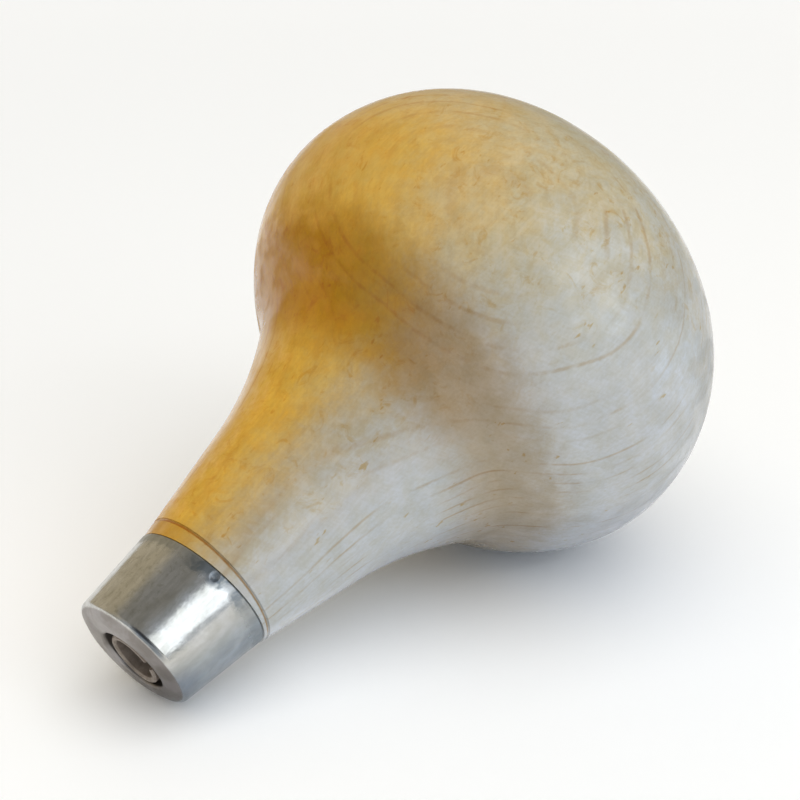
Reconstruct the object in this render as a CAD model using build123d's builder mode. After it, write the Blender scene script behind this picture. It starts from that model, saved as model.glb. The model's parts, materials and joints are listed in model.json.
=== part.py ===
from build123d import *
from math import asin, atan2, cos, degrees, hypot, pi, radians, sin, tan
import os

# Lino cutter with a turned wooden palm handle, empty of its nib. Sizes are in millimetres.
# "At" and "end" sizes are measured along the tool's axis, from the nose towards the bulb.
# The tool lies as it rests on a bench, on the side of its bulb and the rim of its nose.

# Wooden bulb: half an ellipse in front of its widest ring, a round shoulder and a flatter cap behind
bulb_radius = 22.5
bulb_at = 43.66
bulb_front_length = 17.1
shoulder_radius = 15.7
shoulder_turn = 48.5
cap_radius = shoulder_radius + (bulb_radius - shoulder_radius) / cos(radians(shoulder_turn))
cap_centre_at = bulb_at - (bulb_radius - shoulder_radius) * tan(radians(shoulder_turn))

# Wooden neck: a cone that curves out and blends into the bulb
neck_slope = 0.212
neck_cone_end = 18.26
neck_top_radius = 14.1
neck_bulb_blend = 8.4

# Wooden collar between the ferrule and a fine turned groove
collar_radius = 6.4
groove_at = 9.16
groove_width = 0.3
groove_depth = 0.17

# Drawn steel ferrule, turned in at the nose. Both of its ends are out of square, towards one side.
ferrule_end = 8.26
ferrule_nose_radius = 5.53
ferrule_rear_radius = 6.38
ferrule_taper = (ferrule_rear_radius - ferrule_nose_radius) / ferrule_end
ferrule_wall = 0.8
rear_edge_rounding = 0.15
nose_bevel_length = 0.5
nose_bevel_width = 1.2
nose_edge_rounding = 0.5
nose_face_rounding = 1.5
nose_skew = 3.4
rear_skew = 4.9
skew_angle = 134.0
lip_thickness = 1.2
skew_stock = 1.0
mouth_radius = 3.05
mouth_rounding = 0.3
bore_offset = 0.4

# Shallow punch marks that stake the ferrule to the wood, set in from its rear edge
punch_setback = 0.75
punch_count = 3
punch_first_angle = 46.6
punch_tip_radius = 2.0
punch_depth = 0.05

# Rolled spring sleeve that presses the nib's shank against the bore around it
sleeve_radius = 2.5
sleeve_wall = 0.5
sleeve_recess = 0.15
sleeve_lead_in = 0.15
sleeve_slit_width = 0.8
sleeve_slit_angle = 75.0
nib_depth = 17.5
sleeve_seat_end = 24.0
spigot_gap = 0.6

# The axis dips until the nose, whose lower side the skew sets back, and the bulb both touch the bench
axis_dip = radians(22.86)
skew = tan(radians(nose_skew))
skew_up = skew * cos(radians(skew_angle))
skew_across = skew * sin(radians(skew_angle))
bevel_turn = atan2(nose_bevel_width, nose_bevel_length)
edge_ring_at = nose_bevel_length + nose_edge_rounding * tan(bevel_turn / 2)
edge_ring_radius = ferrule_nose_radius + ferrule_taper * edge_ring_at - nose_edge_rounding
edge_ring_drop = edge_ring_radius * hypot(cos(axis_dip) + skew_up * sin(axis_dip), skew_across * sin(axis_dip))
nose_height = edge_ring_drop + nose_edge_rounding - edge_ring_at * sin(axis_dip)
face_ring_inset = nose_bevel_width + nose_face_rounding * tan(pi / 4 - bevel_turn / 2)
face_ring_radius = ferrule_nose_radius - face_ring_inset
face_ring_reach = face_ring_radius * hypot(sin(axis_dip) - skew_up * cos(axis_dip), skew_across * cos(axis_dip))
nose_reach = face_ring_reach + nose_face_rounding * (1 - cos(axis_dip))
bulb_reach = cap_centre_at * cos(axis_dip) + cap_radius
nose_centre = ((nose_reach - bulb_reach) / 2, 0, nose_height)

# The tool's plane has X along the axis towards the bulb and Y across it, upwards.
# Angles round the axis are turned from Y.
tool = Plane(origin=nose_centre, x_dir=(cos(axis_dip), 0, sin(axis_dip)), z_dir=(0, -1, 0))
tool_axis = Axis(tool.origin, tool.x_dir)

# The bore lies a little off the axis, towards the side that the skew sets back
bore_shift = bore_offset * (
    tool.y_dir * cos(radians(skew_angle)) + tool.z_dir * sin(radians(skew_angle))
)
bore = Plane(tool.origin + bore_shift, x_dir=tool.x_dir, z_dir=tool.z_dir)
bore_axis = Axis(bore.origin, bore.x_dir)


def turned(angle):
    """The tool's plane, turned round its axis."""
    turn = radians(angle)
    return Plane(tool.origin, x_dir=tool.x_dir, z_dir=tool.z_dir * cos(turn) - tool.y_dir * sin(turn))


def ferrule_radius(at):
    """Outside radius of the ferrule's cone."""
    return ferrule_nose_radius + ferrule_taper * at


# Handle: spigot, collar, grooved neck and bulb, bored for the nib's shank and the sleeve's seat
spigot_at = lip_thickness + spigot_gap
collar_front = ferrule_end - skew_stock
neck_cone_radius = collar_radius + neck_slope * (neck_cone_end - ferrule_end)
groove_floor = collar_radius + neck_slope * (groove_at - ferrule_end) - groove_depth
neck_top_angle = 180 - degrees(asin(neck_top_radius / bulb_radius))

# Room that the ferrule takes from the front of the collar, up to the ferrule's rear plane
rear_lean = ferrule_rear_radius * tan(radians(rear_skew))
rear_plane = Plane(
    tool.origin + tool.x_dir * ferrule_end,
    z_dir=tool.x_dir - turned(skew_angle).y_dir * tan(radians(rear_skew)),
)
ferrule_stock_end = ferrule_end + skew_stock

with BuildPart() as ferrule_room:
    with BuildSketch(turned(skew_angle)):
        Polygon(
            (collar_front, ferrule_radius(collar_front) - ferrule_wall),
            (collar_front, collar_radius + skew_stock),
            (ferrule_stock_end, collar_radius + skew_stock),
            (ferrule_stock_end, ferrule_radius(ferrule_stock_end) - ferrule_wall),
            align=None,
        )
    revolve(axis=tool_axis)
    split(bisect_by=rear_plane, keep=Keep.BOTTOM)

with BuildPart() as handle:
    with BuildSketch(tool) as turned_profile:
        with BuildLine():
            bulb_front = EllipticalCenterArc(
                (bulb_at, 0), bulb_front_length, bulb_radius, start_angle=90, arc_size=neck_top_angle - 90
            )
            shoulder = JernArc(bulb_front @ 0, (1, 0), shoulder_radius, -shoulder_turn)
            cap = JernArc(shoulder @ 1, shoulder % 1, cap_radius, shoulder_turn - 90)
            neck_top = bulb_front @ 1
            TangentArc((neck_cone_end, neck_cone_radius), neck_top, tangent=(1, neck_slope))
            Polyline(
                (neck_cone_end, neck_cone_radius),
                (collar_front, collar_radius - neck_slope * skew_stock),
                (collar_front, ferrule_radius(collar_front) - ferrule_wall),
                (spigot_at, ferrule_radius(spigot_at) - ferrule_wall),
                (spigot_at, 0),
                cap @ 1,
            )
        make_face()
        fillet(turned_profile.vertices().sort_by_distance(neck_top)[0], neck_bulb_blend)
    revolve(axis=tool_axis)
    with BuildSketch(tool):
        with Locations((groove_at, groove_floor + groove_width / 2)):
            Circle(groove_width / 2)
    revolve(axis=tool_axis, mode=Mode.SUBTRACT)
    with BuildSketch(bore):
        Rectangle(nib_depth, mouth_radius, align=Align.MIN)
        Rectangle(sleeve_seat_end, sleeve_radius, align=Align.MIN)
    revolve(axis=bore_axis, mode=Mode.SUBTRACT)
    add(ferrule_room.part, mode=Mode.SUBTRACT)
handle.part.label = "handle"

# Ferrule: a tapered cup, cut off along the nose and rear planes and pierced by the mouth
nose_plane = Plane(tool.origin, z_dir=tool.x_dir - turned(skew_angle).y_dir * skew)

with BuildPart() as ferrule_hollow:
    with BuildSketch(tool):
        Polygon(
            (-skew_stock, 0),
            (-skew_stock, ferrule_radius(-skew_stock) - ferrule_wall),
            (ferrule_stock_end, ferrule_radius(ferrule_stock_end) - ferrule_wall),
            (ferrule_stock_end, 0),
            align=None,
        )
    revolve(axis=tool_axis)
    split(bisect_by=nose_plane.offset(lip_thickness), keep=Keep.TOP)

with BuildPart() as ferrule:
    with BuildSketch(turned(skew_angle)):
        Polygon(
            (-skew_stock, 0),
            (-skew_stock, ferrule_radius(-skew_stock)),
            (ferrule_stock_end, ferrule_radius(ferrule_stock_end)),
            (ferrule_stock_end, 0),
            align=None,
        )
    revolve(axis=tool_axis)
    split(bisect_by=rear_plane, keep=Keep.BOTTOM)
    split(bisect_by=nose_plane, keep=Keep.TOP)
    nose_face = ferrule.faces().filter_by(GeomType.PLANE).sort_by_distance(tool.origin)[0]
    chamfer(nose_face.edges(), nose_bevel_width, nose_bevel_length, reference=nose_face)
    bevel_rims = ferrule.edges().filter_by(lambda edge: edge.is_closed).sort_by_distance(tool.origin)[:2]
    fillet(bevel_rims[1], nose_edge_rounding)
    nose_face = ferrule.faces().filter_by(GeomType.PLANE).sort_by_distance(tool.origin)[0]
    fillet(nose_face.edges(), nose_face_rounding)
    add(ferrule_hollow.part, mode=Mode.SUBTRACT)
    with BuildSketch(bore):
        Rectangle(2 * spigot_at, mouth_radius, align=(Align.CENTER, Align.MIN))
    revolve(axis=bore_axis, mode=Mode.SUBTRACT)
    nose_face = ferrule.faces().filter_by(GeomType.PLANE).sort_by_distance(tool.origin)[0]
    mouth_rim = nose_face.edges().sort_by(SortBy.LENGTH)[0]
    fillet(mouth_rim, mouth_rounding)
    rear_face = ferrule.faces().filter_by(GeomType.PLANE).sort_by_distance(tool.origin)[-1]
    rear_rim = rear_face.edges().sort_by(SortBy.LENGTH)[-1]
    fillet(rear_rim, rear_edge_rounding)
    for mark in range(punch_count):
        punch_angle = punch_first_angle + mark * 360 / punch_count
        rear_edge_at = ferrule_end + rear_lean * cos(radians(punch_angle - skew_angle))
        punch_at = rear_edge_at - punch_setback
        punch_centre_radius = ferrule_radius(punch_at) + punch_tip_radius - punch_depth
        side = turned(punch_angle)
        punch_centre = side.from_local_coords((punch_at, punch_centre_radius, 0))
        with Locations(Plane(punch_centre, z_dir=side.y_dir)):
            Sphere(punch_tip_radius, mode=Mode.SUBTRACT)
ferrule.part.label = "ferrule"

# Spring sleeve: a rolled tube with a slit down one side, seated at the bottom of the bore
sleeve_bore_radius = sleeve_radius - sleeve_wall
with BuildPart() as spring_sleeve:
    with BuildSketch(bore):
        with Locations((sleeve_recess, sleeve_bore_radius)):
            sleeve_section = Rectangle(sleeve_seat_end - sleeve_recess, sleeve_wall, align=Align.MIN)
        sleeve_mouth = sleeve_section.vertices().group_by(Axis.X)[0]
        chamfer(sleeve_mouth, sleeve_lead_in)
    revolve(axis=bore_axis)
    with BuildSketch(Plane(bore.origin, x_dir=tool.x_dir, z_dir=turned(sleeve_slit_angle).z_dir)):
        Rectangle(sleeve_seat_end, sleeve_radius, align=Align.MIN)
    extrude(amount=sleeve_slit_width / 2, both=True, mode=Mode.SUBTRACT)
spring_sleeve.part.label = "spring_sleeve"

os.makedirs("parts", exist_ok=True)
export_step(handle.part, "parts/handle.step")
export_step(ferrule.part, "parts/ferrule.step")
export_step(spring_sleeve.part, "parts/spring_sleeve.step")
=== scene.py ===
import json
from math import cos, pi, radians, sin, tan

import bpy
from mathutils import Matrix, Vector


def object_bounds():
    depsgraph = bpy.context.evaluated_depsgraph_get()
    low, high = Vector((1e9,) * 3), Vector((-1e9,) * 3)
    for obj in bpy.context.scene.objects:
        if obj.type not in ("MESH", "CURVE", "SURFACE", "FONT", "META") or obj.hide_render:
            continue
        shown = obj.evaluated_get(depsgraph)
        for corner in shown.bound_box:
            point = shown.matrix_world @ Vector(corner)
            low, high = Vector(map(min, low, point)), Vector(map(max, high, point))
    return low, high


# The looks of a palm-held lino cutter: a lacquered wooden bulb and neck, a drawn steel ferrule
# with its nose turned in, and the dull spring sleeve in its mouth. The tool lies on a pale table.
# Lengths in the room are in metres. Places along the tool's axis, and all lengths in the tool's
# materials, are in millimetres. "At" is a place along that axis, from the nose towards the bulb.
# A pair of places or edges says where a look isn't there yet and where it has its full strength.

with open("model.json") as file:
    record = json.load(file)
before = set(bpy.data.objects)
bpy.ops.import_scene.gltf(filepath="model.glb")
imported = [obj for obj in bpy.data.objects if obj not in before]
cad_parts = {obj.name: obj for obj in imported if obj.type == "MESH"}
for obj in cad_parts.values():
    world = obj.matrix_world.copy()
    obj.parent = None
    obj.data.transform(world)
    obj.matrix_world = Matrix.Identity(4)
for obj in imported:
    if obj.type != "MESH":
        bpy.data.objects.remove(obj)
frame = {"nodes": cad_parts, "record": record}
cad_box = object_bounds()
mounts = {mount["name"]: mount for mount in frame["record"]["mounts"]}

MM = 0.001

# Places along the axis, as in the CAD model
FERRULE_END = 8.26
GROOVE_AT = 9.16
GROOVE_WIDTH = 0.3
BULB_AT = 43.66

# Punch marks, set in from the ferrule's rear edge, where its radius is about 6.3
PUNCH_SETBACK = 0.75
PUNCH_RADIUS = 6.3
PUNCH_ANGLES = (0.35, 120.35, 240.35)

# The tool's axis, from its nose towards the bulb, read from the palm's mount
axis = Vector(mounts["palm_grip"]["axis"])
nose = Vector(mounts["palm_grip"]["pos_m"]) - axis * (BULB_AT * MM)
axis_dip = pi / 2 - axis.angle(Vector((0, 0, 1)))

# Angles round the axis are turned from the side that faces the camera, towards the table.
# That side is itself turned from the tool's upper side, towards -Y.
FACING_ANGLE = 46.25

# Both ends of the ferrule lean back towards one side
SKEW_ANGLE = 134.0 - FACING_ANGLE
NOSE_SKEW = tan(radians(3.4))
REAR_SKEW = tan(radians(4.9))

# Camera, aimed at a point on the axis, with its lens and sensor in millimetres
CAMERA_AZIMUTH = -45.2
CAMERA_ELEVATION = 23.4
CAMERA_DISTANCE = 0.1412
CAMERA_AIM_AT = 33.09
CAMERA_LENS = 72.0
CAMERA_SENSOR = 36.0


def direction(azimuth, elevation):
    """Unit vector from the tool towards a place in the room. Azimuth 0 is -Y and 90 is +X."""
    a = radians(azimuth)
    e = radians(elevation)
    return Vector((sin(a) * cos(e), -cos(a) * cos(e), sin(e)))


def on_axis(at):
    """A point on the tool's axis, in the room."""
    return nose + axis * (at * MM)


# The way along the tool, in its own axes, which run along it, sideways (+Y) and up
AHEAD = Vector((1, 0, 0))


def round_axis(angle):
    """Unit vector across the tool, in its own axes, at an angle from the side facing the camera."""
    turn = radians(FACING_ANGLE + angle)
    return Vector((0, -sin(turn), cos(turn)))


# ---------------------------------------------------------------- shader nodes


class Nodes:
    """A node tree, written as expressions. Inputs are numbers, colours or other nodes' outputs."""

    def __init__(self, tree):
        self.tree = tree

    def node(self, kind, inputs=(), **settings):
        made = self.tree.nodes.new(kind)
        for key, value in settings.items():
            setattr(made, key, value)
        for key, value in dict(inputs).items():
            self.feed(made.inputs[key], value)
        return made

    def feed(self, socket, value):
        if isinstance(value, bpy.types.NodeSocket):
            self.tree.links.new(value, socket)
        elif socket.type == "RGBA":
            socket.default_value = (*value, 1.0)
        else:
            socket.default_value = value

    def math(self, operation, a, b=0.0):
        made = self.node("ShaderNodeMath", operation=operation)
        self.feed(made.inputs[0], a)
        self.feed(made.inputs[1], b)
        return made.outputs[0]

    def add(self, first, *others):
        for other in others:
            first = self.math("ADD", first, other)
        return first

    def times(self, first, *others):
        for other in others:
            first = self.math("MULTIPLY", first, other)
        return first

    def most(self, first, *others):
        for other in others:
            first = self.math("MAXIMUM", first, other)
        return first

    def length(self, a, b):
        """Length of a vector with two parts."""
        return self.math("SQRT", self.add(self.times(a, a), self.times(b, b)))

    def vector(self, x, y, z):
        return self.node("ShaderNodeCombineXYZ", {"X": x, "Y": y, "Z": z}).outputs[0]

    def parts(self, vector):
        return self.node("ShaderNodeSeparateXYZ", {"Vector": vector}).outputs[:]

    def dot(self, vector, way):
        made = self.node("ShaderNodeVectorMath", {0: vector, 1: way}, operation="DOT_PRODUCT")
        return made.outputs["Value"]

    def distance(self, vector, point):
        made = self.node("ShaderNodeVectorMath", {0: vector, 1: point}, operation="DISTANCE")
        return made.outputs["Value"]

    def line(self, value, low, high):
        """A straight slope: 0 at low, 1 at high."""
        inputs = {"Value": value, "From Min": low, "From Max": high}
        return self.node("ShaderNodeMapRange", inputs).outputs[0]

    def smooth(self, value, low, high, start=0.0, end=1.0):
        """A soft step: start at low, end at high, which may be the lesser one."""
        inputs = {"Value": value, "From Min": low, "From Max": high, "To Min": start, "To Max": end}
        return self.node("ShaderNodeMapRange", inputs, interpolation_type="SMOOTHSTEP").outputs[0]

    def mix(self, factor, a, b, blend="MIX"):
        """Mixes two colours."""
        made = self.node("ShaderNodeMix", {0: factor}, data_type="RGBA", blend_type=blend)
        self.feed(made.inputs[6], a)
        self.feed(made.inputs[7], b)
        return made.outputs[2]

    def tint(self, factor, colour, tint):
        """Multiplies a colour by a tint, by as much as the factor says."""
        return self.mix(factor, colour, tint, "MULTIPLY")

    def ramp(self, value, stops):
        """A colour for each value from 0 to 1, given as {place: colour}."""
        made = self.node("ShaderNodeValToRGB", {"Fac": value})
        bar = made.color_ramp
        places = sorted(stops)
        bar.elements[0].position = places[0]
        bar.elements[1].position = places[-1]
        for place in places[1:-1]:
            bar.elements.new(place)
        for element, place in zip(bar.elements, places):
            element.color = (*stops[place], 1.0)
        return made.outputs["Color"]

    def noise(self, vector, scale, detail=2.0, roughness=0.5, distortion=0.0):
        """Noise from 0 to 1, mostly near one half."""
        inputs = {"Vector": vector, "Scale": scale, "Detail": detail, "Roughness": roughness}
        inputs["Distortion"] = distortion
        return self.node("ShaderNodeTexNoise", inputs).outputs["Fac"]

    def swing(self, noise, amount):
        """Noise turned into a swing about zero, of amount from end to end."""
        return self.times(self.add(noise, -0.5), amount)

    def turned(self, vector, x_dir, y_dir, scale=(1.0, 1.0, 1.0)):
        """A position in other axes, x_dir, y_dir and their cross product, each divided by its scale."""
        z_dir = x_dir.cross(y_dir)
        rotation = Matrix((x_dir, y_dir, z_dir)).transposed().to_euler()
        inputs = {"Vector": vector, "Rotation": rotation, "Scale": scale}
        return self.node("ShaderNodeMapping", inputs, vector_type="TEXTURE").outputs[0]

    def streaks(self, vector, way, length, width, detail=2.0, roughness=0.5):
        """Noise drawn out along one direction. Length and width are in the vector's units."""
        way = way.normalized()
        aside = way.orthogonal().normalized()
        drawn = self.turned(vector, way, aside, (length, width, width))
        return self.noise(drawn, 1.0, detail, roughness)


class Finish(Nodes):
    """A material. Its places are in metres in the room."""

    def __init__(self, name):
        self.material = bpy.data.materials.new(name)
        self.material.use_nodes = True
        super().__init__(self.material.node_tree)
        self.surface = self.tree.nodes["Principled BSDF"]
        self.place = self.node("ShaderNodeTexCoord").outputs["Object"]

    def set(self, **inputs):
        """Sets the surface shader's inputs, written with underscores for spaces."""
        for key, value in inputs.items():
            self.feed(self.surface.inputs[key.replace("_", " ")], value)

    def bump(self, height, depth, normal=None):
        """A bump whose height of 1 stands depth millimetres proud."""
        made = self.node("ShaderNodeBump", {"Height": height, "Distance": depth * MM, "Strength": 1.0})
        if normal is not None:
            self.feed(made.inputs["Normal"], normal)
        return made.outputs[0]


class ToolFinish(Finish):
    """A material of the tool. Its places are in millimetres in the tool's own axes."""

    def __init__(self, name):
        super().__init__(name)
        inputs = {"Vector": self.place, "Location": nose, "Scale": (MM, MM, MM)}
        inputs["Rotation"] = (0, -axis_dip, 0)
        self.place = self.node("ShaderNodeMapping", inputs, vector_type="TEXTURE").outputs[0]
        self.at, self.side, self.up = self.parts(self.place)


# ---------------------------------------------------------------- wood

# Growth rings: near-flat shells whose normal is given by an angle round the axis and a tilt
RING_ANGLE = -20.4
RING_TILT = radians(-14.2)
RING_CURVE = 80.0
RING_SPACING = 1.05
RING_OFFSET = 0.1

# Changes along the handle: from the neck's stain to the bulb's, to a thinner stain over the cap,
# from painted light on the lower neck to painted shade on the lower bulb, and to painted shade
# over the cap on its upper and lower sides. The bulb's painted highlight lies between its
# two pairs.
BULB_STAIN_AT = (33.0, 38.0)
THIN_STAIN_AT = (40.0, 50.0)
LOWER_BULB_AT = (9.0, 28.0)
UPPER_CAP_AT = (46.0, 54.0)
LOWER_CAP_AT = (43.0, 51.0)
PAINTED_HIGHLIGHT_STARTS_AT = (38.0, 43.0)
PAINTED_HIGHLIGHT_ENDS_AT = (54.0, 48.0)

# Darker honey on the collar of wood in front of the groove
COLLAR_AT = (GROOVE_AT + 0.2, GROOVE_AT - 0.1)

# Looks that go by the angle round the axis lose their strength here, inside this radius, so that
# they don't all meet in a point at the middle of the cap
CAP_FADE_AT = (45.0, 57.0)
CAP_FADE_RADIUS = 15.0

# Painted shade: a warm brown band in the hollow where the neck flares into the bulb
SHADE_BAND_START = 25.0
SHADE_BAND_FULL = 29.8
SHADE_BAND_FADE = 31.0
SHADE_BAND_END = 35.2

# Sides of the handle, as angles round the axis
HONEY_SIDE = -80.0
BACK_SIDE = -105.0
PAINTED_HIGHLIGHT_SIDE = 22.0
LOWER_SIDE = 102.0

# Stain on the wood, from none to full: darker on the neck than on the bulb. The bluish grey at
# its pale end is partly painted cool light, and its honey is partly painted warm light
# on the upper side.
NECK_STAIN = {
    0.00: (0.45, 0.468, 0.476),
    0.16: (0.435, 0.44, 0.44),
    0.38: (0.40, 0.37, 0.305),
    0.54: (0.425, 0.34, 0.205),
    0.70: (0.52, 0.345, 0.10),
    0.84: (0.60, 0.345, 0.045),
    0.97: (0.67, 0.37, 0.03),
}
BULB_STAIN = {
    0.00: (0.46, 0.475, 0.485),
    0.16: (0.455, 0.465, 0.45),
    0.38: (0.445, 0.415, 0.33),
    0.54: (0.49, 0.405, 0.24),
    0.70: (0.55, 0.385, 0.15),
    0.84: (0.60, 0.37, 0.075),
    0.97: (0.61, 0.34, 0.04),
}
PALE_HONEY = (0.72, 0.50, 0.25)


class LacqueredWood(ToolFinish):
    """Pale, close-grained wood under satin lacquer, stained honey on its upper side, partly as painted warm
    light.
    """

    def __init__(self):
        super().__init__("lacquered_wood")
        across = round_axis(90.0)

        # Directions of the grain
        self.ring_normal = AHEAD * sin(RING_TILT) + round_axis(RING_ANGLE) * cos(RING_TILT)
        self.grain_way = (AHEAD - self.ring_normal * self.ring_normal.x).normalized()

        # Mottle at two sizes, and streaks that cross each other
        self.clouds = self.noise(self.place, 0.16, 3.0, 0.55, 0.4)
        self.mottle = self.noise(self.place, 0.45, 4.0, 0.6, 0.3)
        fibre = self.streaks(self.place, self.grain_way, 4.5, 0.22, 3.0, 0.6)
        rub = self.streaks(self.place, AHEAD * 0.55 + across, 3.0, 0.2)
        scuff = self.streaks(self.place, AHEAD - across * 0.8, 3.6, 0.24)
        self.crossed = self.add(self.times(fibre, 0.45), self.times(rub, 0.3), self.times(scuff, 0.25))

        # Direction out from the axis, which shrinks to nothing at the middle of the cap
        least_radius = self.smooth(self.at, *CAP_FADE_AT, 1.0, CAP_FADE_RADIUS)
        radius = self.length(self.side, self.up)
        outward = self.math("DIVIDE", 1.0, self.most(radius, least_radius))
        self.around = self.vector(0.0, self.times(self.side, outward), self.times(self.up, outward))

        # Wandering place along the axis, where the painted band of shade begins by it
        self.warped = self.add(self.at, self.swing(self.mottle, 2.0), self.swing(self.clouds, 2.4))
        self.shade_band_rise = self.smooth(self.warped, SHADE_BAND_START, SHADE_BAND_FULL)

        # Height towards the honey side, with less of it over the cap, and the amount of stain, whose
        # honey is partly painted warm light
        upper = self.facing(HONEY_SIDE)
        thin = self.add(0.17, self.times(upper, 0.5))
        capward = self.smooth(self.at, *THIN_STAIN_AT)
        self.upper = self.add(upper, self.times(capward, self.math("SUBTRACT", thin, upper)))
        specks = self.noise(self.place, 1.9, 3.0, 0.6)
        uneven = self.add(self.swing(self.clouds, 0.45), self.swing(self.mottle, 0.32))
        uneven = self.add(uneven, self.swing(specks, 0.12), self.swing(self.crossed, 0.1))
        self.stain = self.line(self.add(self.upper, uneven), -0.4, 1.05)

    def facing(self, angle):
        """Cosine of the angle round the axis from a given side."""
        return self.dot(self.around, round_axis(angle))

    def stained(self):
        """Honey stain with a soft and mottled edge."""
        bulbward = self.smooth(self.at, *BULB_STAIN_AT)
        return self.mix(bulbward, self.ramp(self.stain, NECK_STAIN), self.ramp(self.stain, BULB_STAIN))

    def sided(self, wood):
        """Paler honey at the back, painted light on the lower neck, painted shade on the lower bulb, and
        painted shade over the cap.
        """
        behind = self.add(self.facing(BACK_SIDE), self.swing(self.mottle, 0.35))
        back = self.times(self.smooth(behind, 0.62, 1.02), self.smooth(self.shade_band_rise, 0.0, 1.0, 0.9, 0.15))
        wood = self.mix(back, wood, PALE_HONEY)
        # Painted light and shade on the lower side: lighter on the neck, darker and bluish on the bulb
        low = self.smooth(self.facing(LOWER_SIDE), 0.74, 0.94)
        low_side_light = self.mix(self.smooth(self.at, *LOWER_BULB_AT), (1.36, 1.36, 1.42), (0.80, 0.82, 0.88))
        wood = self.tint(low, wood, low_side_light)
        # Painted shade over the cap, on its upper and lower sides
        upper_cap_shade = self.times(self.smooth(self.at, *UPPER_CAP_AT), self.smooth(self.upper, 0.0, 0.6))
        wood = self.tint(upper_cap_shade, wood, (0.80, 0.84, 0.84))
        lower_cap_shade = self.times(self.smooth(self.at, *LOWER_CAP_AT), self.smooth(self.upper, 0.2, -0.2))
        return self.tint(lower_cap_shade, wood, (0.71, 0.71, 0.72))

    def shade_banded(self, wood):
        """Painted shade: a brown band in the flare's hollow, deeper and narrower where the stain is strong.
        """
        deep = self.smooth(self.stain, 0.45, 0.85)
        place = self.math("SUBTRACT", self.warped, self.times(deep, 1.5))
        fall = self.smooth(place, SHADE_BAND_FADE, SHADE_BAND_END, 1.0, 0.0)
        painted_band_shade = self.times(self.shade_band_rise, fall, self.smooth(self.stain, 0.0, 0.3, 0.9, 1.0))
        return self.tint(painted_band_shade, wood, self.mix(deep, (0.75, 0.58, 0.38), (0.67, 0.53, 0.03)))

    def rings(self):
        """Growth rings: thin, broken and mostly faint."""
        depth, _, width = self.parts(self.turned(self.place, self.ring_normal, self.grain_way))
        shell = self.length(self.add(depth, RING_CURVE), width)
        wander = self.times(self.noise(self.place, 0.05, 2.0), 3.0)
        count = self.add(self.times(shell, 1 / RING_SPACING), wander, RING_OFFSET)
        off_ring = self.math("ABSOLUTE", self.add(self.math("FRACT", count), -0.5))
        own = {"W": self.math("FLOOR", count)}
        strength = self.node("ShaderNodeTexWhiteNoise", own, noise_dimensions="1D").outputs["Value"]
        seen = self.smooth(self.noise(self.place, 0.14, 2.0), 0.34, 0.60)
        broken = self.smooth(self.streaks(self.place, self.grain_way, 11.0, 1.2, 2.0), 0.36, 0.6, 0.15, 1.0)
        ring = self.times(self.smooth(off_ring, 0.02, 0.15, 1.0, 0.0), seen, broken)
        return self.times(ring, self.smooth(strength, 0.2, 0.95, 0.15, 1.0))

    def flecked(self, wood):
        """Short orange-brown flecks, soft smudges, and a painted bluish highlight on the bulb's near side.
        """
        fleck = self.smooth(self.streaks(self.place, self.grain_way, 1.6, 0.6, 2.0), 0.66, 0.74)
        fleck = self.times(fleck, self.smooth(self.clouds, 0.45, 0.58), 0.9)
        wood = self.tint(fleck, wood, (0.86, 0.68, 0.38))
        smudge = self.smooth(self.noise(self.place, 0.55, 4.0, 0.62, 1.4), 0.55, 0.72)
        wood = self.tint(self.times(smudge, self.smooth(self.stain, 0.05, 0.4)), wood, (0.92, 0.80, 0.58))
        # Painted highlight: the key light's bluish reflection in the lacquer, in mottled patches
        painted_highlight = self.smooth(self.noise(self.place, 0.30, 4.0, 0.6, 0.5), 0.44, 0.62)
        painted_highlight = self.times(painted_highlight, self.smooth(self.at, *PAINTED_HIGHLIGHT_STARTS_AT))
        painted_highlight = self.times(painted_highlight, self.smooth(self.at, *PAINTED_HIGHLIGHT_ENDS_AT))
        painted_highlight = self.times(painted_highlight, self.smooth(self.facing(PAINTED_HIGHLIGHT_SIDE), 0.80, 0.98))
        return self.tint(painted_highlight, wood, (1.10, 1.14, 1.22))

    def grained(self, wood):
        """Fine crossing streaks, mottle, and warm and cool patches that are strongest in the stain."""
        grain = self.smooth(self.crossed, 0.35, 0.65)
        wood = self.tint(1.0, wood, self.mix(grain, (0.95, 0.93, 0.88), (1.035, 1.04, 1.045)))
        cloudy = self.smooth(self.mottle, 0.35, 0.65)
        wood = self.tint(1.0, wood, self.mix(cloudy, (0.96, 0.96, 0.95), (1.03, 1.03, 1.04)))
        warm = self.smooth(self.noise(self.place, 0.75, 5.0, 0.62, 0.6), 0.36, 0.64)
        patches = self.mix(warm, (1.03, 1.05, 1.12), (0.99, 0.94, 0.84))
        return self.tint(self.smooth(self.stain, 0.1, 0.45, 0.38, 1.0), wood, patches)

    def grooved(self, wood):
        """Dirt in the turned groove, and a darker honey on the collar in front of it."""
        off_groove = self.math("ABSOLUTE", self.add(self.at, -GROOVE_AT))
        dirt = self.smooth(off_groove, 0.05 * GROOVE_WIDTH, 0.5 * GROOVE_WIDTH, 1.0, 0.0)
        wood = self.tint(dirt, wood, (0.74, 0.50, 0.26))
        collar = self.times(self.smooth(self.at, *COLLAR_AT), self.smooth(self.stain, 0.5, 0.9))
        return self.tint(collar, wood, (0.80, 0.73, 0.60))


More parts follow.
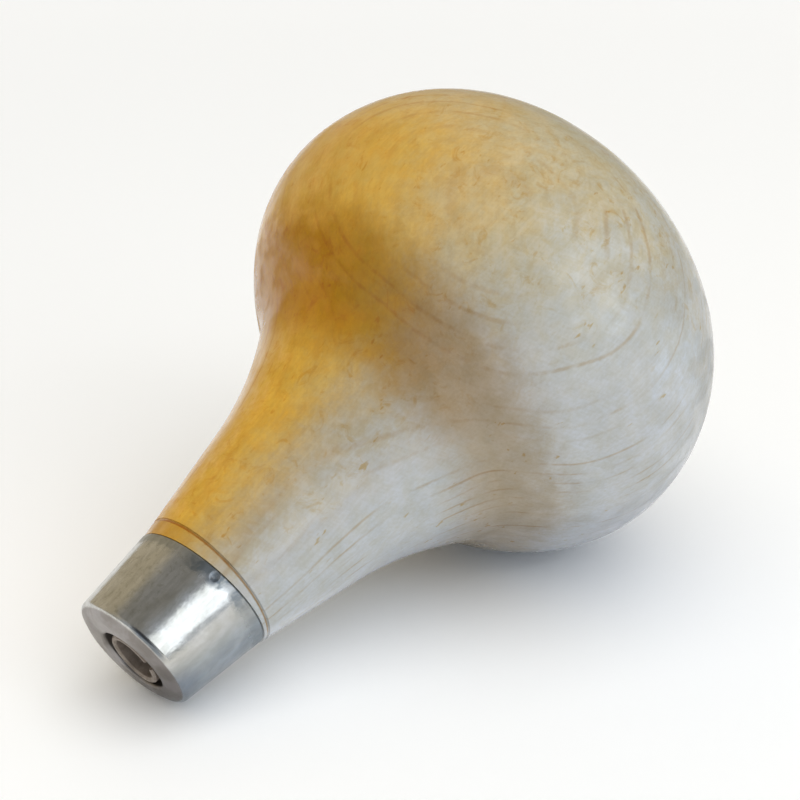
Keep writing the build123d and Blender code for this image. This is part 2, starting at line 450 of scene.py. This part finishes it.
def lacquered_wood():
    s = LacqueredWood()
    wood = s.shade_banded(s.sided(s.stained()))
    ring = s.rings()
    wood = s.tint(s.times(ring, 0.75), wood, (0.82, 0.66, 0.46))
    wood = s.grooved(s.grained(s.flecked(wood)))
    relief = s.add(s.times(s.crossed, 0.5), s.times(s.mottle, 0.3), s.times(ring, -0.3))
    s.set(Base_Color=wood, Roughness=0.5, Specular_IOR_Level=0.0, Normal=s.bump(relief, 0.025))
    s.set(Coat_Weight=s.smooth(s.mottle, 0.35, 0.6, 0.55, 1.0), Coat_Roughness=0.16, Coat_IOR=1.55)
    return s.material


# ---------------------------------------------------------------- steel

# Sides of the ferrule, as angles round the axis
STAINED_SIDE = -70.0
SPECKLED_SIDE = -50.0
DULL_STRIP = -96.0
BRIGHT_BAR = 3.0
BLOTTED_SIDE = 5.0
NOSE_DULL_SIDE = 70.0
PAINTED_SHADE_SIDE = 75.0

# Where dullness grows towards the nose, and where stain and blots grow towards the rear edge
NOSE_DULL_AT = (3.2, 0.6)
REAR_STAIN_AT = (FERRULE_END - 1.3, FERRULE_END - 0.5)
BLOTS_AT = (FERRULE_END - 1.5, FERRULE_END - 0.7)

# Ragged distance from a punch mark's middle within which its scuff shows
SCUFF_REACH = (1.15, 0.6)

# A place on the nose's profile is its radius plus this slope times its place along the axis. The
# lip lies inside the first soft edge, and the painted dark reflection lies between the other two.
PROFILE_SLOPE = 0.9
LIP_EDGE = (5.8, 5.5)
DARK_REFLECTION_INNER_EDGE = (5.65, 5.85)
DARK_REFLECTION_OUTER_EDGE = (6.3, 6.1)


class FerruleSteel(ToolFinish):
    """Drawn steel, bright on its cone, dull on its turned-in nose and stained along its rear edge."""

    def __init__(self):
        super().__init__("ferrule_steel")
        self.clouds = self.noise(self.place, 0.45, 3.0, 0.55, 0.3)
        self.drawn = self.streaks(self.place, AHEAD, 2.6, 0.5, 3.0, 0.6)
        self.grit = self.noise(self.place, 2.6, 3.0, 0.6)
        self.radius = self.length(self.side, self.up)
        self.lean = self.dot(self.place, round_axis(SKEW_ANGLE))

    def facing(self, angle):
        """Cosine of the angle round the axis from a given side."""
        return self.math("DIVIDE", self.dot(self.place, round_axis(angle)), self.radius)

    def cone(self):
        """Drawn and clouded steel, with painted bluish shade on its lower side, which reflects the shadowed
        table.
        """
        steel = self.smooth(self.drawn, 0.35, 0.65)
        steel = self.mix(steel, (0.565, 0.565, 0.555), (0.65, 0.65, 0.645))
        steel = self.tint(self.smooth(self.clouds, 0.35, 0.65), steel, (0.88, 0.87, 0.83))
        # Painted shade: darker and bluish on the lower side, as a reflection of the table in shadow
        low = self.smooth(self.add(self.clouds, self.drawn), 0.75, 1.2, 0.75, 1.0)
        low = self.times(low, self.smooth(self.facing(PAINTED_SHADE_SIDE), 0.65, 1.0))
        steel = self.tint(low, steel, (0.50, 0.57, 0.66))
        steel = self.tint(self.smooth(self.facing(DULL_STRIP), 0.955, 0.995), steel, (0.66, 0.68, 0.72))
        front = self.smooth(self.at, *NOSE_DULL_AT)
        front = self.times(front, self.smooth(self.facing(NOSE_DULL_SIDE), 0.70, 0.97))
        return self.tint(front, steel, (0.62, 0.64, 0.68))

    def rear_stain(self, steel):
        """Stain and dark blots along the rear edge, which lean as the ferrule's end does."""
        rear_at = self.add(self.at, self.times(self.lean, -REAR_SKEW))
        ragged = self.add(rear_at, self.swing(self.clouds, 1.8), self.swing(self.grit, 0.8))
        rear = self.smooth(ragged, *REAR_STAIN_AT)
        upper = self.smooth(self.facing(STAINED_SIDE), 0.2, 0.95, 0.25, 0.6)
        steel = self.tint(self.times(rear, upper), steel, (0.60, 0.61, 0.60))
        blot = self.smooth(self.noise(self.place, 0.9, 4.0, 0.65, 0.8), 0.42, 0.6, 0.35, 1.0)
        blot = self.times(blot, self.smooth(ragged, *BLOTS_AT))
        blot = self.times(blot, self.smooth(self.facing(BLOTTED_SIDE), 0.80, 0.98))
        return self.tint(blot, steel, (0.45, 0.50, 0.56)), self.most(rear, blot)

    def specked(self, steel):
        """Dark specks on the upper side."""
        specks = self.smooth(self.grit, 0.5, 0.7)
        specks = self.times(specks, self.smooth(self.facing(SPECKLED_SIDE), 0.68, 0.92))
        return self.tint(specks, steel, (0.84, 0.84, 0.81))

    def punch_scuffs(self):
        """Scuffs in the punch marks, which are set in from the leaning rear edge."""
        scuffs = 0.0
        for angle in PUNCH_ANGLES:
            lean = REAR_SKEW * PUNCH_RADIUS * cos(radians(angle - SKEW_ANGLE))
            mark = round_axis(angle) * PUNCH_RADIUS + AHEAD * (FERRULE_END - PUNCH_SETBACK + lean)
            away = self.add(self.distance(self.place, mark), self.times(self.grit, 0.6))
            scuffs = self.add(scuffs, self.smooth(away, *SCUFF_REACH))
        return scuffs

    def nose(self, steel):
        """Dull taupe lip with painted shade on its lower side, and a painted dark reflection behind it,
        on the side of the cone's bright bar.
        """
        nose_at = self.add(self.at, self.times(self.lean, -NOSE_SKEW))
        profile = self.add(self.radius, self.times(nose_at, PROFILE_SLOPE))
        lip = self.smooth(profile, *LIP_EDGE)
        dull = self.mix(self.smooth(self.clouds, 0.4, 0.6), (0.35, 0.325, 0.32), (0.26, 0.235, 0.22))
        # Painted shade: the lip grows darker towards the lower side
        dull = self.tint(self.smooth(self.facing(PAINTED_SHADE_SIDE), -0.3, 0.9), dull, (0.62, 0.60, 0.58))
        steel = self.mix(self.times(lip, 0.9), steel, dull)
        # Painted reflection: a dark line where the fold mirrors the dim walls overhead
        painted_dark_reflection = self.smooth(self.facing(BRIGHT_BAR), 0.93, 0.99)
        painted_dark_reflection = self.times(painted_dark_reflection, self.smooth(profile, *DARK_REFLECTION_INNER_EDGE))
        painted_dark_reflection = self.times(painted_dark_reflection, self.smooth(profile, *DARK_REFLECTION_OUTER_EDGE))
        return self.tint(painted_dark_reflection, steel, (0.36, 0.40, 0.46)), lip


def ferrule_steel():
    s = FerruleSteel()
    steel, worn = s.rear_stain(s.cone())
    scuffs = s.punch_scuffs()
    steel, lip = s.nose(s.tint(scuffs, s.specked(steel), (0.62, 0.65, 0.70)))
    dullness = s.times(s.add(lip, s.most(worn, scuffs)), 0.22)
    rough = s.add(s.smooth(s.grit, 0.3, 0.7, 0.17, 0.23), dullness)
    relief = s.bump(s.clouds, 0.05, s.bump(s.drawn, 0.006))
    s.set(Base_Color=steel, Metallic=1.0, Roughness=rough, Normal=relief)
    return s.material


def spring_steel():
    """Dull, oiled steel of the rolled sleeve, marked along its length by the rolling."""
    s = ToolFinish("spring_steel")
    stain = s.noise(s.place, 1.4, 4.0, 0.6)
    rolled = s.noise(s.vector(s.times(s.at, 0.8), s.times(s.side, 9.0), s.times(s.up, 9.0)), 1.0, 2.0)
    steel = s.mix(s.smooth(stain, 0.35, 0.65), (0.31, 0.26, 0.22), (0.21, 0.17, 0.14))
    s.set(Base_Color=steel, Metallic=0.3, Roughness=s.smooth(stain, 0.3, 0.7, 0.5, 0.65))
    s.set(Normal=s.bump(rolled, 0.01))
    return s.material


finishes = {"handle": lacquered_wood(), "ferrule": ferrule_steel(), "spring_sleeve": spring_steel()}
for name, finish in finishes.items():
    for material_slot in frame["nodes"][name].material_slots:
        material_slot.material = finish

# ---------------------------------------------------------------- room

TABLE_SIZE = 6.0
TABLE_GAP = 0.00002

# Glow of the table, and how much more of it the camera sees far away, over these distances
TABLE_GLOW = 0.03
FAR_GLOW = 0.75
FAR_AWAY = (0.05, 1.3)

LIGHTS_AIM_AT = 20.0
ROOM_SEEN = (0.93, 0.93, 0.93)


def table_top():
    """Plain pale table, which looks lighter to the camera with distance from the tool."""
    s = Finish("table_top")
    x, y, _ = s.parts(s.place)
    eye = s.node("ShaderNodeLightPath").outputs["Is Camera Ray"]
    far = s.smooth(s.length(x, y), *FAR_AWAY, 0.0, FAR_GLOW)
    s.set(Base_Color=(0.965, 0.975, 0.99), Roughness=0.9, Specular_IOR_Level=0.1)
    s.set(Emission_Color=(0.96, 0.98, 1.0), Emission_Strength=s.add(TABLE_GLOW, s.times(eye, far)))
    return s.material


def lay_table():
    """A square table just under the tool."""
    half = TABLE_SIZE / 2
    mesh = bpy.data.meshes.new("table")
    corners = [(-half, -half, 0), (half, -half, 0), (half, half, 0), (-half, half, 0)]
    mesh.from_pydata(corners, [], [(0, 1, 2, 3)])
    mesh.materials.append(table_top())
    table = bpy.data.objects.new("table", mesh)
    table.location.z = cad_box[0].z - TABLE_GAP
    bpy.context.scene.collection.objects.link(table)


def softbox(name, azimuth, elevation, distance, size, power, colour, glossy=True):
    """A square studio light aimed at the tool's neck. One that isn't glossy has no reflection."""
    data = bpy.data.lights.new(name, "AREA")
    data.shape = "RECTANGLE"
    data.size = size
    data.size_y = size
    data.energy = power
    data.color = colour
    light = bpy.data.objects.new(name, data)
    away = direction(azimuth, elevation)
    light.location = on_axis(LIGHTS_AIM_AT) + away * distance
    light.rotation_euler = away.to_track_quat("Z", "Y").to_euler()
    light.visible_glossy = glossy
    bpy.context.scene.collection.objects.link(light)


def studio_walls():
    """Soft walls: cool on the right, olive at the back and left, dim overhead and dark round the
    camera. The camera itself sees them plain and pale."""
    room = bpy.data.worlds.new("room")
    room.use_nodes = True
    s = Nodes(room.node_tree)
    seen = s.node("ShaderNodeTexCoord").outputs["Generated"]

    def patch(azimuth, elevation, inner, outer):
        """A round patch of wall, given by its direction and its soft edge in degrees."""
        return s.smooth(s.dot(seen, direction(azimuth, elevation)), cos(radians(outer)), cos(radians(inner)))

    colour = s.mix(patch(-170, 30, 25, 80), (0.40, 0.43, 0.47), (0.53, 0.46, 0.33))
    colour = s.mix(patch(-68, 71, 15, 38), colour, (0.27, 0.26, 0.235))
    colour = s.mix(patch(-54, 30, 8, 26), colour, (0.06, 0.06, 0.065))
    eye = s.node("ShaderNodeLightPath").outputs["Is Camera Ray"]
    seen_wall = s.node("ShaderNodeBackground", {"Color": ROOM_SEEN}).outputs[0]
    lit_wall = s.node("ShaderNodeBackground", {"Color": colour}).outputs[0]
    both = s.node("ShaderNodeMixShader", {0: eye, 1: lit_wall, 2: seen_wall}).outputs[0]
    s.feed(s.tree.nodes["World Output"].inputs["Surface"], both)
    return room


lay_table()
softbox("key", 1, 24.5, 0.6, 0.38, 0.70, (0.93, 0.98, 1.0))
softbox("top", -20, 70, 0.9, 1.2, 7.2, (1.0, 0.99, 0.97), glossy=False)
softbox("back", 150, 35, 0.9, 0.6, 0.4, (1.0, 0.97, 0.92), glossy=False)
bpy.context.scene.world = studio_walls()

# ---------------------------------------------------------------- camera

camera_data = bpy.data.cameras.new("camera")
camera_data.lens = CAMERA_LENS
camera_data.sensor_width = CAMERA_SENSOR
camera_data.clip_start = 0.005
camera_data.clip_end = 20.0
camera = bpy.data.objects.new("camera", camera_data)
towards_camera = direction(CAMERA_AZIMUTH, CAMERA_ELEVATION)
camera.location = on_axis(CAMERA_AIM_AT) + towards_camera * CAMERA_DISTANCE
camera.rotation_mode = "QUATERNION"
camera.rotation_quaternion = (-towards_camera).to_track_quat("-Z", "Y")
bpy.context.scene.collection.objects.link(camera)
bpy.context.scene.camera = camera
bpy.context.scene.view_settings.view_transform = "Standard"
